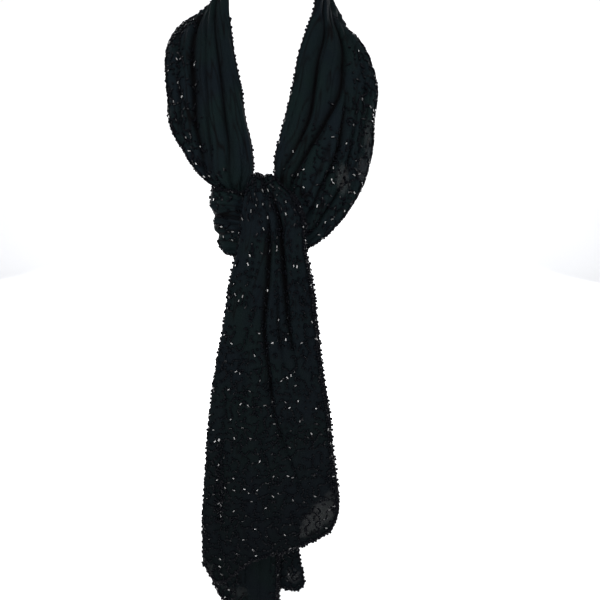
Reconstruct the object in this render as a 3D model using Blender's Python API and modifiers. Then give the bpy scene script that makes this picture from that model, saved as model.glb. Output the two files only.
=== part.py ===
"""A long beaded chiffon shawl, worn round the neck and tied once.

Each stretch of cloth that shows is a thin wall of its own. The origin is the middle of the
neck opening, at the height where the cloth rests on the shoulders. +Z is up and the tails
hang in front, towards -Y. Lengths in the tables are millimetres.
"""
import math

import bmesh
import bpy
import numpy as np
from mathutils import Vector

MM = 0.001

# The cloth
WALL = 1.5
SEAM_GAP = 0.5
LAYER_GAP = 5.5
# A tail's last sections, over which its rows turn from level to the hem's slant
HEM_SECTIONS = 3
FOLD_SEGMENTS = 4
COLUMNS_PER_PLEAT = 4
PLEAT_ROUNDNESS = 0.6
# A pleat's crest lies nearer its far valley where this is over 1, and nearer its first where under 1
PLEAT_LEANS = (1.3, 0.8, 1.4, 0.75, 1.25, 0.9)
CLOTH_COLOUR = (0.006, 0.008, 0.009, 1.0)
CLOTH_ROUGHNESS = 0.75

# The loop from the right band's end under the knot, round the neck, down the left band, across the
# right band and round behind it.
# name, inner or upper edge, middle and outer or lower edge of the section (x, y, z)
LOOP_SECTIONS = (
    ("right_under_knot", (9, -125, -282), (-12, -128, -283), (-33, -126, -284)),
    ("right_in_knot", (-14, -125, -232), (-29, -128, -233), (-44, -126, -233)),
    ("right_knot_top", (-23, -122, -208), (-36, -126, -209), (-49, -122, -209)),
    ("right_above_knot", (-21, -115, -190), (-42, -120, -192), (-68, -112, -193)),
    ("right_low_chest", (-19, -105, -165), (-52, -112, -168), (-90, -100, -168)),
    ("right_chest", (-26, -93, -136), (-63, -98, -139), (-106, -84, -141)),
    ("right_high_chest", (-31, -78, -104), (-70, -81, -106), (-113, -66, -108)),
    ("right_collarbone", (-39, -58, -71), (-76, -60, -74), (-117, -50, -79)),
    ("right_shoulder", (-45, -35, -37), (-80, -36, -43), (-118, -34, -60)),
    ("right_neck_side", (-49, -12, -2), (-77, -8, -24), (-112, -14, -48)),
    ("right_ridge", (-50, 10, 36), (-69, 14, -6), (-103, 14, -35)),
    ("right_back", (-45, 32, 60), (-67, 39, 16), (-96, 43, -18)),
    ("right_nape", (-29, 51, 79), (-46, 61, 43), (-62, 70, 6)),
    ("nape", (0, 60, 86), (0, 71, 52), (0, 81, 18)),
    ("left_nape", (29, 51, 79), (46, 61, 43), (62, 70, 8)),
    ("left_back", (45, 33, 60), (65, 39, 17), (87, 43, -14)),
    ("left_ridge", (51, 10, 36), (65, 14, -3), (88, 14, -32)),
    ("left_neck_side", (49, -12, -4), (66, -9, -21), (92, -7, -42)),
    ("left_shoulder", (42, -34, -33), (73, -34, -51), (107, -25, -60)),
    ("left_collarbone", (33, -56, -65), (75, -59, -77), (115, -41, -82)),
    ("left_high_chest", (27, -75, -96), (74, -80, -108), (118, -60, -105)),
    ("left_chest", (20, -90, -123), (70, -99, -139), (114, -80, -139)),
    ("left_low_chest", (13, -105, -153), (62, -116, -174), (109, -98, -175)),
    ("left_above_knot", (10, -115, -175), (54, -127, -204), (102, -114, -204)),
    ("left_knot_side", (11, -124, -197), (40, -134, -228), (84, -126, -234)),
    ("left_knot_top", (7, -130, -212), (29, -137, -242), (63, -132, -257)),
    ("crossing", (-3, -133, -216), (12, -138, -245), (35, -135, -271)),
    ("over_right_band", (-22, -134, -210), (-14, -139, -242), (-2, -136, -275)),
    ("right_front", (-42, -133, -207), (-37, -138, -239), (-30, -135, -276)),
    ("turn_start", (-52, -130, -207), (-50, -132, -240), (-40, -131, -275)),
    ("turn", (-57, -124, -209), (-55, -124, -241), (-45, -125, -273)),
    ("turn_end", (-52, -118, -211), (-50, -117, -242), (-41, -118, -271)),
    ("behind", (-40, -117, -213), (-38, -116, -242), (-28, -117, -269)),
    ("hidden_end", (-22, -117, -214), (-18, -116, -243), (-10, -117, -267)),
)
RIGHT_SEAM = "right_back"
LEFT_SEAM = "left_back"
KNOT_SEAM = "crossing"

# Where the valleys between the loop's pleats lie, from 0 at its inner edge to 1 at its outer
PLEAT_STATIONS = (
    "right_under_knot",
    "right_above_knot",
    "right_chest",
    "right_shoulder",
    "nape",
    "left_shoulder",
    "left_chest",
    "crossing",
    "right_front",
    "turn",
    "hidden_end",
)
LOOP_VALLEYS = (
    (0.14, 0.16, 0.11, 0.12, 0.14, 0.13, 0.11, 0.15, 0.12, 0.10, 0.20),
    (0.36, 0.35, 0.31, 0.30, 0.32, 0.34, 0.29, 0.31, 0.37, 0.31, 0.40),
    (0.50, 0.55, 0.56, 0.49, 0.46, 0.46, 0.45, 0.45, 0.50, 0.52, 0.58),
    (0.69, 0.66, 0.67, 0.60, 0.68, 0.66, 0.60, 0.66, 0.68, 0.73, 0.72),
    (0.82, 0.86, 0.86, 0.83, 0.84, 0.81, 0.82, 0.81, 0.87, 0.85, 0.86),
)
LOOP_PLEAT_DEPTHS = (
    (2.0, 3.0, 2.5, 3.0, 3.0, 3.0, 2.5, 2.0, 2.0, 1.5, 1.5),
    (3.0, 5.0, 6.5, 6.5, 4.5, 6.0, 7.0, 3.5, 4.5, 3.5, 2.0),
    (2.0, 3.0, 5.0, 4.5, 3.0, 3.5, 4.0, 3.0, 2.0, 3.0, 2.0),
    (3.0, 4.5, 4.0, 4.0, 4.5, 6.5, 7.5, 4.0, 4.5, 2.0, 2.0),
    (2.0, 3.0, 6.0, 5.5, 3.5, 4.0, 4.5, 2.5, 2.5, 4.0, 2.0),
    (2.5, 4.0, 4.0, 5.0, 3.5, 5.5, 6.5, 3.5, 3.5, 2.0, 1.5),
)

# A tail is folded lengthwise on its left edge: an upper layer with pleats and an under layer.
# name, left edge x, right edge x, under layer's right edge x, depth y, height z, right side's drop
FRONT_TAIL_SECTIONS = (
    ("hidden_end", -19, 11, 8, -106.8, -262, 0),
    ("rise", -16, 8, 6, -106.8, -226, 1),
    ("behind_top", -15, 7, 5, -112, -202, 3),
    ("top", -15, 8, 6, -128, -191, 5),
    ("before_top", -17, 14, 8, -145, -198, 4),
    ("fall_start", -21, 26, 14, -151, -210, 0),
    ("over_knot", -25, 38, 20, -153, -236, 0),
    ("below_knot", -29, 39, 22, -153, -263, 0),
    ("narrow", -37, 45, 24, -150, -294, 0),
    ("upper", -47, 52, 26, -147, -350, 0),
    ("middle", -58, 58, 26, -144, -403, 0),
    ("waist", -66, 66, 26, -142, -453, 0),
    ("lower", -72, 71, 28, -140, -503, 0),
    ("low", -76, 76, 30, -139, -545, 0),
    ("near_hem", -80, 80, 31, -138, -579, 0),
    ("hem", -82, 80, 31, -138, -640, 0),
)
FRONT_TAIL_PLEAT_STATIONS = ("hidden_end", "top", "over_knot", "narrow", "middle", "hem")
FRONT_TAIL_VALLEYS = (
    (0.20, 0.22, 0.18, 0.16, 0.24, 0.18),
    (0.40, 0.40, 0.42, 0.44, 0.47, 0.40),
    (0.60, 0.58, 0.63, 0.68, 0.66, 0.62),
    (0.80, 0.80, 0.85, 0.83, 0.84, 0.86),
)
FRONT_TAIL_PLEAT_DEPTHS = (
    (2.0, 2.0, 2.0, 1.5, 2.5, 2.0),
    (2.5, 2.5, 5.0, 5.0, 3.0, 4.5),
    (2.0, 2.5, 4.0, 6.5, 5.0, 3.0),
    (2.5, 2.5, 5.5, 4.0, 2.5, 4.5),
    (2.0, 2.0, 2.5, 3.0, 3.5, 2.0),
)
# Height of the hem, across the upper layer from its left edge to its right edge
FRONT_HEM = (
    (0.00, -668),
    (0.04, -678),
    (0.10, -683),
    (0.19, -675),
    (0.27, -661),
    (0.36, -650),
    (0.46, -643),
    (0.58, -640),
    (0.70, -631),
    (0.84, -620),
    (0.94, -610),
    (0.98, -597),
    (1.00, -582),
)
FRONT_UNDER_HEM = ((0.0, -668), (0.3, -656), (1.0, -626))
FRONT_ARCH = 4.0

BACK_TAIL_SECTIONS = (
    ("under_knot", -33, 9, 9, -124.5, -284.3, -2),
    ("upper", -43, 26, 29, -119, -363, 0),
    ("middle", -56, 24, 37, -117, -474, 0),
    ("lower", -66, 14, 36, -116, -581, 0),
    ("near_hem", -70, 7, 31, -115, -645, 0),
    ("hem", -71, 6, 38, -115, -690, 0),
)
BACK_TAIL_PLEAT_STATIONS = ("under_knot", "middle", "hem")
BACK_TAIL_VALLEYS = (
    (0.25, 0.24, 0.30),
    (0.50, 0.48, 0.55),
    (0.75, 0.76, 0.78),
)
BACK_TAIL_PLEAT_DEPTHS = (
    (1.5, 4.0, 4.5),
    (2.0, 5.0, 4.0),
    (2.0, 4.5, 3.5),
    (1.5, 3.5, 3.0),
)
BACK_HEM = ((0.0, -706), (0.06, -718), (0.16, -727), (0.4, -738), (0.75, -744), (1.0, -740))
BACK_UNDER_HEM = ((0.0, -706), (0.15, -714), (0.6, -710), (0.8, -717), (0.93, -716), (1.0, -704))
BACK_ARCH = 2.0

# Rows of faces along each stretch. The first and the last are narrow, so that the wall's ends are
# square to the cloth and two stretches meet face to face.
END_ROW = 2.5
BAND_ROWS = 20
NAPE_ROWS = 11
WRAP_ROWS = 16
FRONT_TAIL_ROWS = 30
BACK_TAIL_ROWS = 16
UNDER_COLUMNS = 10


def index_of(sections, name):
    """The place of the named section in its table."""
    return [row[0] for row in sections].index(name)


def chord_knots(points):
    """How far along each point of a chain lies, from 0."""
    steps = np.linalg.norm(np.diff(points, axis=0), axis=1)
    return np.concatenate(([0.0], np.cumsum(steps)))


def smooth(knots, values, at):
    """A smooth curve through values, one for each knot, read at the place given."""
    knots = np.asarray(knots, float)
    values = np.asarray(values, float)
    slopes = np.gradient(values, knots, axis=0)
    at = min(max(at, knots[0]), knots[-1])
    k = min(int(np.searchsorted(knots, at, side="right")) - 1, len(knots) - 2)
    span = knots[k + 1] - knots[k]
    f = (at - knots[k]) / span
    start = (1 + 2 * f) * (1 - f) ** 2 * values[k] + f * (1 - f) ** 2 * span * slopes[k]
    end = f * f * (3 - 2 * f) * values[k + 1] - f * f * (1 - f) * span * slopes[k + 1]
    return start + end


class Pleats:
    """Lengthwise pleats: lobes between valleys, whose places and depths change along the cloth."""

    def __init__(self, sections, knots, stations, valleys, depths):
        self.at = [knots[index_of(sections, name)] for name in stations]
        self.valleys = np.array(valleys, float).T
        self.depths = np.array(depths, float).T

    def bounds(self, along):
        inner = smooth(self.at, self.valleys, along)
        return np.concatenate(([0.0], inner, [1.0]))

    def across(self, column, along):
        """Where a column of the mesh lies across the cloth, and how far the pleat lifts it there."""
        pleat, step = divmod(column, COLUMNS_PER_PLEAT)
        bounds = self.bounds(along)
        if pleat == len(bounds) - 1:
            return 1.0, 0.0
        f = step / COLUMNS_PER_PLEAT
        rise = math.sin(math.pi * f ** PLEAT_LEANS[pleat]) ** PLEAT_ROUNDNESS
        lift = smooth(self.at, self.depths, along)[pleat] * rise
        return bounds[pleat] + f * (bounds[pleat + 1] - bounds[pleat]), lift

    def columns(self):
        return self.depths.shape[1] * COLUMNS_PER_PLEAT


def section_point(section, across):
    """A point on the arc through a section's inner edge, middle and outer edge."""
    inner, middle, outer = section
    return (
        inner * (1 - across) * (1 - 2 * across)
        + middle * 4 * across * (1 - across)
        + outer * across * (2 * across - 1)
    )


class Band:
    """A gathered stretch through sections of three points."""

    def __init__(self, sections, stations, valleys, depths):
        self.points = np.array([row[1:] for row in sections], float)
        self.knots = chord_knots(self.points[:, 1])
        self.pleats = Pleats(sections, self.knots, stations, valleys, depths)
        self.sections = sections

    def base(self, along, across):
        return section_point(smooth(self.knots, self.points, along), across)

    def outward(self, along, across):
        step = 1.0
        start, end = self.knots[0], self.knots[-1]
        before, after = max(along - step, start), min(along + step, end)
        down = self.base(after, across) - self.base(before, across)
        edge = 0.01
        low, high = max(across - edge, 0.0), min(across + edge, 1.0)
        over = self.base(along, high) - self.base(along, low)
        normal = np.cross(down, over)
        return normal / np.linalg.norm(normal)

    def point(self, along, column):
        across, lift = self.pleats.across(column, along)
        return self.base(along, across) + self.outward(along, across) * lift

    def place(self, name):
        return self.knots[index_of(self.sections, name)]


class FoldedTail:
    """A tail in two layers: pleated on top, turned under along its left edge, and plain below."""

    def __init__(self, sections, stations, valleys, depths, hems, arch):
        table = np.array([row[1:] for row in sections], float)
        self.table = table
        self.knots = chord_knots(table[:, 3:5])
        self.pleats = Pleats(sections, self.knots, stations, valleys, depths)
        self.hem, self.under_hem = [np.array(hem, float) for hem in hems]
        self.hem_starts = self.knots[-HEM_SECTIONS]
        self.arch = arch

    def outward(self, along):
        step = 2.0
        before = smooth(self.knots, self.table[:, 3:5], along - step)
        after = smooth(self.knots, self.table[:, 3:5], along + step)
        down = after - before
        return np.array((0.0, down[1], -down[0])) / np.linalg.norm(down)

    def lay(self, along, x, share, off, hem):
        """A point at x, share of the way from the left edge, off the tail's path by that much."""
        row = smooth(self.knots, self.table, along)
        point = np.array((x, row[3], row[4] - row[5] * share))
        if along > self.hem_starts:
            done = (along - self.hem_starts) / (self.knots[-1] - self.hem_starts)
            top = smooth(self.knots, self.table, self.hem_starts)[4]
            point[2] = top + (np.interp(share, hem[:, 0], hem[:, 1]) - top) * done
        return point + self.outward(along) * off

    def upper_point(self, along, column):
        left, right = smooth(self.knots, self.table, along)[:2]
        share, lift = self.pleats.across(column, along)
        arch = self.arch * (1 - (2 * share - 1) ** 2)
        return self.lay(along, left + share * (right - left), share, arch + lift, self.hem)

    def turn_point(self, along, step):
        left = smooth(self.knots, self.table, along)[0]
        angle = math.pi * step / FOLD_SEGMENTS
        radius = LAYER_GAP / 2
        x = left - radius * math.sin(angle)
        return self.lay(along, x, 0.0, radius * math.cos(angle) - radius, self.hem)

    def under_point(self, along, step):
        left, _, right = smooth(self.knots, self.table, along)[:3]
        share = step / UNDER_COLUMNS
        return self.lay(along, left + share * (right - left), share, -LAYER_GAP, self.under_hem)

    def columns(self):
        return self.pleats.columns() + FOLD_SEGMENTS + UNDER_COLUMNS

    def point(self, along, column):
        """Columns run from the upper layer's right edge to the fold and on along the under layer."""
        pleated = self.pleats.columns()
        if column <= pleated:
            return self.upper_point(along, pleated - column)
        if column <= pleated + FOLD_SEGMENTS:
            return self.turn_point(along, column - pleated)
        return self.under_point(along, column - pleated - FOLD_SEGMENTS)


def cloth_material():
    """Black crepe chiffon."""
    material = bpy.data.materials.new("black_chiffon")
    material.use_nodes = True
    shader = material.node_tree.nodes["Principled BSDF"]
    shader.inputs["Base Color"].default_value = CLOTH_COLOUR
    shader.inputs["Roughness"].default_value = CLOTH_ROUGHNESS
    shader.inputs["Metallic"].default_value = 0.0
    return material


def row_place(row, rows, start, end):
    """Where a row of the mesh lies along the cloth."""
    if row in (0, rows):
        return start if row == 0 else end
    return start + END_ROW + (row - 1) / (rows - 2) * (end - start - 2 * END_ROW)


def add_stretch(name, collection, point, columns, rows, start, end):
    """A wall of cloth: a grid whose points are laid on the stretch, then given its thickness."""
    bm = bmesh.new()
    bmesh.ops.create_grid(bm, x_segments=columns, y_segments=rows, size=0.5)
    for vert in bm.verts:
        column = round((vert.co.x + 0.5) * columns)
        along = row_place(round((vert.co.y + 0.5) * rows), rows, start, end)
        vert.co = Vector(point(along, column)) * MM
    mesh = bpy.data.meshes.new(name)
    bm.to_mesh(mesh)
    bm.free()
    mesh.shade_smooth()
    mesh.materials.append(cloth_material())
    stretch = bpy.data.objects.new(name, mesh)
    collection.objects.link(stretch)
    wall = stretch.modifiers.new("wall", "SOLIDIFY")
    wall.thickness = WALL * MM
    wall.offset = 0.0
    return stretch


def add_loop(collection):
    """The loop's four stretches, a seam's gap apart where they meet."""
    loop = Band(LOOP_SECTIONS, PLEAT_STATIONS, LOOP_VALLEYS, LOOP_PLEAT_DEPTHS)
    columns = loop.pleats.columns()
    half_gap = SEAM_GAP / 2
    right, left, knot = [loop.place(seam) for seam in (RIGHT_SEAM, LEFT_SEAM, KNOT_SEAM)]
    stretches = (
        ("wearer_right_band", 0.0, right - half_gap, BAND_ROWS),
        ("nape_stretch", right + half_gap, left - half_gap, NAPE_ROWS),
        ("wearer_left_band", left + half_gap, knot - half_gap, BAND_ROWS),
        ("knot_wrap", knot + half_gap, loop.knots[-1], WRAP_ROWS),
    )
    for name, start, end, rows in stretches:
        add_stretch(name, collection, loop.point, columns, rows, start, end)


def add_tails(collection):
    front = FoldedTail(
        FRONT_TAIL_SECTIONS,
        FRONT_TAIL_PLEAT_STATIONS,
        FRONT_TAIL_VALLEYS,
        FRONT_TAIL_PLEAT_DEPTHS,
        (FRONT_HEM, FRONT_UNDER_HEM),
        FRONT_ARCH,
    )
    back = FoldedTail(
        BACK_TAIL_SECTIONS,
        BACK_TAIL_PLEAT_STATIONS,
        BACK_TAIL_VALLEYS,
        BACK_TAIL_PLEAT_DEPTHS,
        (BACK_HEM, BACK_UNDER_HEM),
        BACK_ARCH,
    )
    add_stretch("front_tail", collection, front.point, front.columns(), FRONT_TAIL_ROWS, 0.0, front.knots[-1])
    add_stretch("back_tail", collection, back.point, back.columns(), BACK_TAIL_ROWS, 0.0, back.knots[-1])


def main():
    for thing in list(bpy.data.objects):
        bpy.data.objects.remove(thing, do_unlink=True)
    shawl = bpy.data.collections.new("beaded_shawl")
    bpy.context.scene.collection.children.link(shawl)
    add_loop(shawl)
    add_tails(shawl)


main()
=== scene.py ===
# %% [markdown]
# # A beaded chiffon shawl, tied once at the chest
# The shawl is one long strip of black crepe chiffon with black glass beads sewn over its ends. It
# goes round the neck, crosses at the chest, and one end comes up from behind and falls over the
# front. Each stretch that shows is a thin shell here, laid on the form of the solid that it stands
# for, so the cloth and the solids agree in size.

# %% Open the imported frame
import math
import random

import bmesh
import bpy
import numpy as np
from mathutils import Matrix, Vector, noise


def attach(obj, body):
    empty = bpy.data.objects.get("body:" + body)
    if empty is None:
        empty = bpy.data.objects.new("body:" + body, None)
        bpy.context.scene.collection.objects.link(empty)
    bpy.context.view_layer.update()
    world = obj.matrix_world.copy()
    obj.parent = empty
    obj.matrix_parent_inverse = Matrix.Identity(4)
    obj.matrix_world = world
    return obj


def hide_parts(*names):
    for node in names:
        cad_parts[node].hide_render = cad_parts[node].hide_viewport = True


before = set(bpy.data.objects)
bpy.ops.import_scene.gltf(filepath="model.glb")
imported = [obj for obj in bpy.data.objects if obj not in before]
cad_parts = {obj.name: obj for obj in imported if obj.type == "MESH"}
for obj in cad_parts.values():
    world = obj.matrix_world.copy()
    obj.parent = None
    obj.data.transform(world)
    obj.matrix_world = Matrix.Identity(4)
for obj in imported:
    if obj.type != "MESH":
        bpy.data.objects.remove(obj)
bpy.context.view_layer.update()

MM = 0.001

# %% [markdown]
# ## Smooth curves through a few sizes
# Cloth bends gently from one place to the next, so a maker measures it at a few sections and eases
# between them. Every size here is a row in a table, and one cubic curve reads all the tables. It is
# worked out for whole rows of places at once, which keeps the fine grids quick.

# %% Read a curve at many places
def chain_lengths(points, axis=0):
    """How far along its chain each point lies, from 0. The chains run along an axis of the grid."""
    steps = np.linalg.norm(np.diff(points, axis=axis), axis=-1)
    return np.insert(np.cumsum(steps, axis=axis), 0, 0.0, axis=axis)


def curve(knots, values, at):
    """A smooth curve through values, one for each knot, read at all the places in at."""
    knots = np.asarray(knots, float)
    values = np.asarray(values, float)
    slopes = np.gradient(values, knots, axis=0)
    at = np.clip(np.asarray(at, float), knots[0], knots[-1])
    k = np.clip(np.searchsorted(knots, at, side="right") - 1, 0, len(knots) - 2)
    shape = at.shape + (1,) * (values.ndim - 1)
    span = (knots[k + 1] - knots[k]).reshape(shape)
    f = (at - knots[k]).reshape(shape) / span
    start = (1 + 2 * f) * (1 - f) ** 2 * values[k] + f * (1 - f) ** 2 * span * slopes[k]
    end = f * f * (3 - 2 * f) * values[k + 1] - f * f * (1 - f) * span * slopes[k + 1]
    return start + end


def eased(table, place_of, along):
    """A table of (section, value) rows, eased between its sections."""
    return curve([place_of(name) for name, _ in table], [value for _, value in table], along)


print("through 0, 2 and 3, halfway to the 2, the curve reads", curve((0, 1, 2), (0, 2, 3), [0.5])[0])

# %% [markdown]
# ## The loop round the neck
# The middle of the shawl is gathered into a band round the neck, and its folds run lengthwise. Each
# row of this table is one cut across the band: its inner edge, middle and outer edge, in
# millimetres from the middle of the neck opening. They keep to the solids, eased a few millimetres
# to the edges that the photograph shows. A strip could also be bent along a curve, but a curve has
# one width and one twist, and this band narrows, leans and folds over itself in its knot.

# %% Sections of the loop
LOOP_SECTIONS = (
    ("right_under_knot", (9, -125, -282), (-12, -128, -283), (-33, -126, -284)),
    ("right_in_knot", (-14, -125, -232), (-29, -128, -233), (-44, -126, -233)),
    ("right_knot_top", (-23, -122, -208), (-36, -126, -209), (-49, -122, -209)),
    ("right_above_knot", (-18, -115, -190), (-42, -120, -192), (-74, -112, -192)),
    ("right_low_chest", (-19, -105, -165), (-52, -112, -168), (-92, -100, -169)),
    ("right_chest", (-26, -93, -136), (-63, -98, -139), (-109, -84, -142)),
    ("right_high_chest", (-31, -78, -104), (-70, -81, -106), (-113, -66, -108)),
    ("right_collarbone", (-39, -58, -71), (-76, -60, -74), (-117, -50, -79)),
    ("right_shoulder", (-45, -35, -37), (-80, -36, -43), (-118, -34, -60)),
    ("right_neck_side", (-49, -12, -2), (-79, -8, -22), (-114, -14, -44)),
    ("right_ridge", (-50, 10, 36), (-71, 14, -4), (-110, 14, -30)),
    ("right_back", (-45, 32, 60), (-65, 39, 10), (-97, 40, -16)),
    ("right_nape", (-29, 51, 79), (-45, 61, 45), (-59, 70, 12)),
    ("nape", (0, 60, 86), (0, 71, 56), (0, 81, 28)),
    ("left_nape", (29, 51, 79), (46, 61, 44), (63, 69, 7)),
    ("left_back", (46, 33, 60), (63, 39, 15), (84, 42, -19)),
    ("left_ridge", (53, 10, 36), (65, 14, -4), (87, 14, -33)),
    ("left_neck_side", (51, -12, -4), (66, -9, -21), (94, -7, -41)),
    ("left_shoulder", (42, -34, -33), (73, -34, -51), (108, -25, -60)),
    ("left_collarbone", (32, -56, -65), (75, -59, -77), (115, -41, -82)),
    ("left_high_chest", (26, -75, -96), (74, -80, -108), (118, -60, -105)),
    ("left_chest", (20, -90, -123), (70, -99, -139), (114, -80, -139)),
    ("left_low_chest", (12.5, -105, -153), (62, -116, -174), (109, -98, -175)),
    ("left_above_knot", (6.5, -115, -175), (54, -127, -204), (100, -114, -203)),
    ("left_knot_side", (6.5, -124, -197), (40, -134, -227), (81, -126, -232)),
    ("left_knot_top", (7, -130, -212), (29, -137, -242), (60, -132, -255)),
    ("crossing", (-3, -133, -216), (12, -138, -245), (35, -135, -271)),
    ("over_right_band", (-22, -134, -210), (-14, -139, -242), (-2, -136, -275)),
    ("right_front", (-42, -133, -207), (-37, -138, -239), (-30, -135, -276)),
    ("turn_start", (-53, -130, -205), (-50, -132, -240), (-42, -131, -275)),
    ("turn", (-59, -124, -205), (-55, -124, -241), (-47, -125, -273)),
    ("turn_end", (-52, -118, -211), (-50, -117, -242), (-41, -118, -271)),
    ("behind", (-40, -117, -213), (-38, -116, -242), (-28, -117, -269)),
    ("hidden_end", (-22, -117, -214), (-18, -116, -243), (-10, -117, -267)),
)
LOOP_NAMES = [row[0] for row in LOOP_SECTIONS]
LOOP_POINTS = np.array([row[1:] for row in LOOP_SECTIONS], float)
LOOP_KNOTS = chain_lengths(LOOP_POINTS[:, 1])


def loop_place(name):
    """How far along the loop a section lies, in millimetres."""
    return LOOP_KNOTS[LOOP_NAMES.index(name)]


print("the loop is", round(LOOP_KNOTS[-1]), "mm long")

# %% [markdown]
# ## Folds
# Gathered chiffon lies in soft rolls with narrow valleys between them, and no two are alike. Each
# crease is listed here one by one: its path, how deep it is at each place, and how wide its two
# sides are. A side of 2 mm reads as a tucked-under edge, and one of 8 mm as a soft slope. A crease
# fades out where its depth comes to nothing. A cloth simulation would fold the strip too, but not
# where the photograph shows its folds, and not in the same way twice.

# %% Creases of the loop: side widths, then (section, share across, depth in mm) along the crease
LOOP_CREASES = (
    ((5.0, 1.4), (
        ("right_in_knot", 0.30, 2.5), ("right_above_knot", 0.24, 2.4),
        ("right_low_chest", 0.14, 2.0), ("right_chest", 0.08, 0.0),
    )),
    ((5.5, 1.5), (
        ("right_under_knot", 0.36, 2.0), ("right_knot_top", 0.55, 3.0),
        ("right_above_knot", 0.50, 3.6), ("right_low_chest", 0.37, 4.4), ("right_chest", 0.30, 4.6),
        ("right_high_chest", 0.27, 4.8), ("right_collarbone", 0.25, 4.6),
        ("right_shoulder", 0.25, 4.4), ("right_neck_side", 0.25, 4.4), ("right_ridge", 0.27, 4.0),
        ("nape", 0.30, 3.6), ("left_ridge", 0.30, 4.0), ("left_shoulder", 0.30, 4.8),
        ("left_collarbone", 0.25, 5.4), ("left_high_chest", 0.24, 6.0), ("left_chest", 0.235, 6.2),
        ("left_low_chest", 0.18, 5.5), ("left_above_knot", 0.11, 4.2),
        ("left_knot_side", 0.08, 2.4), ("crossing", 0.12, 1.6), ("right_front", 0.15, 1.6),
        ("turn_start", 0.19, 1.0), ("turn", 0.22, 0.4), ("hidden_end", 0.24, 0.0),
    )),
    ((1.5, 5.0), (
        ("right_under_knot", 0.55, 1.8), ("right_above_knot", 0.75, 2.6),
        ("right_low_chest", 0.61, 3.6), ("right_chest", 0.52, 3.6), ("right_high_chest", 0.47, 3.2),
        ("right_collarbone", 0.42, 3.0), ("right_shoulder", 0.38, 2.8),
        ("right_neck_side", 0.36, 3.0), ("right_ridge", 0.40, 2.6), ("nape", 0.46, 2.6),
        ("left_ridge", 0.48, 2.8), ("left_shoulder", 0.46, 1.6), ("left_collarbone", 0.41, 1.2),
        ("left_high_chest", 0.38, 1.0), ("left_chest", 0.32, 0.6), ("left_low_chest", 0.24, 0.0),
    )),
    ((6.5, 1.6), (
        ("right_knot_top", 0.88, 1.5), ("right_above_knot", 0.89, 3.0),
        ("right_low_chest", 0.77, 4.8), ("right_chest", 0.70, 6.0), ("right_high_chest", 0.66, 7.0),
        ("right_collarbone", 0.64, 7.0), ("right_shoulder", 0.60, 6.4),
        ("right_neck_side", 0.56, 5.0), ("right_ridge", 0.58, 4.4), ("nape", 0.62, 3.6),
        ("left_ridge", 0.63, 4.4), ("left_shoulder", 0.62, 5.4), ("left_collarbone", 0.57, 6.0),
        ("left_high_chest", 0.53, 6.2), ("left_chest", 0.41, 6.4), ("left_low_chest", 0.30, 5.6),
        ("left_above_knot", 0.23, 4.6), ("left_knot_side", 0.22, 3.4), ("crossing", 0.31, 2.4),
        ("right_front", 0.42, 3.8), ("turn_start", 0.38, 2.0), ("turn", 0.34, 0.6),
        ("hidden_end", 0.36, 1.0),
    )),
    ((1.6, 6.0), (
        ("left_collarbone", 0.60, 0.0), ("left_high_chest", 0.585, 3.0), ("left_chest", 0.57, 5.6),
        ("left_low_chest", 0.57, 5.4), ("left_above_knot", 0.50, 4.8),
        ("left_knot_side", 0.53, 4.0), ("left_knot_top", 0.50, 3.0), ("crossing", 0.47, 2.4),
        ("over_right_band", 0.56, 3.0), ("right_front", 0.66, 2.4), ("turn_start", 0.58, 2.6),
        ("turn", 0.50, 1.6), ("hidden_end", 0.58, 1.0),
    )),
    ((4.0, 1.4), (
        ("left_high_chest", 0.76, 0.0), ("left_chest", 0.73, 2.6), ("left_low_chest", 0.73, 4.4),
        ("left_above_knot", 0.72, 5.2), ("left_knot_side", 0.72, 4.4), ("left_knot_top", 0.75, 3.4),
        ("crossing", 0.70, 2.6), ("right_front", 0.84, 1.6), ("turn_start", 0.79, 1.4),
        ("turn", 0.74, 0.8), ("hidden_end", 0.72, 1.0),
    )),
    ((5.0, 2.0), (
        ("right_above_knot", 0.96, 0.0), ("right_low_chest", 0.90, 2.0), ("right_chest", 0.86, 3.0),
        ("right_high_chest", 0.83, 3.2), ("right_collarbone", 0.81, 2.8),
        ("right_shoulder", 0.80, 2.6), ("right_ridge", 0.82, 2.6), ("nape", 0.82, 2.8),
        ("left_ridge", 0.80, 2.4), ("left_shoulder", 0.80, 2.2), ("left_collarbone", 0.82, 2.0),
        ("left_high_chest", 0.84, 2.2), ("left_chest", 0.87, 2.6), ("left_low_chest", 0.87, 2.6),
        ("left_above_knot", 0.86, 2.2), ("left_knot_side", 0.87, 2.0), ("crossing", 0.88, 1.6),
        ("right_front", 0.94, 1.4), ("turn", 0.90, 1.0), ("hidden_end", 0.88, 0.6),
    )),
    ((3.0, 3.0), (
        ("over_right_band", 0.22, 0.0), ("right_front", 0.30, 2.0), ("turn_start", 0.27, 2.4),
        ("turn", 0.12, 0.0),
    )),
    ((2.5, 4.0), (
        ("over_right_band", 0.72, 0.0), ("right_front", 0.52, 2.6), ("turn_start", 0.46, 3.0),
        ("turn", 0.40, 1.0), ("behind", 0.42, 0.0),
    )),
)

print(len(LOOP_CREASES), "creases in the loop")

# %% How full the rolls stand over the sections, and how crumpled they are, in mm
LOOP_FULLNESS = (
    ("right_under_knot", 1.5), ("right_knot_top", 2.5), ("right_low_chest", 4.2),
    ("right_high_chest", 4.8), ("right_ridge", 4.6), ("nape", 4.0), ("left_ridge", 4.4),
    ("left_high_chest", 5.0), ("left_above_knot", 4.4), ("left_knot_top", 3.2), ("crossing", 2.4),
    ("right_front", 3.6), ("turn", 3.0), ("hidden_end", 1.5),
)
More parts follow.
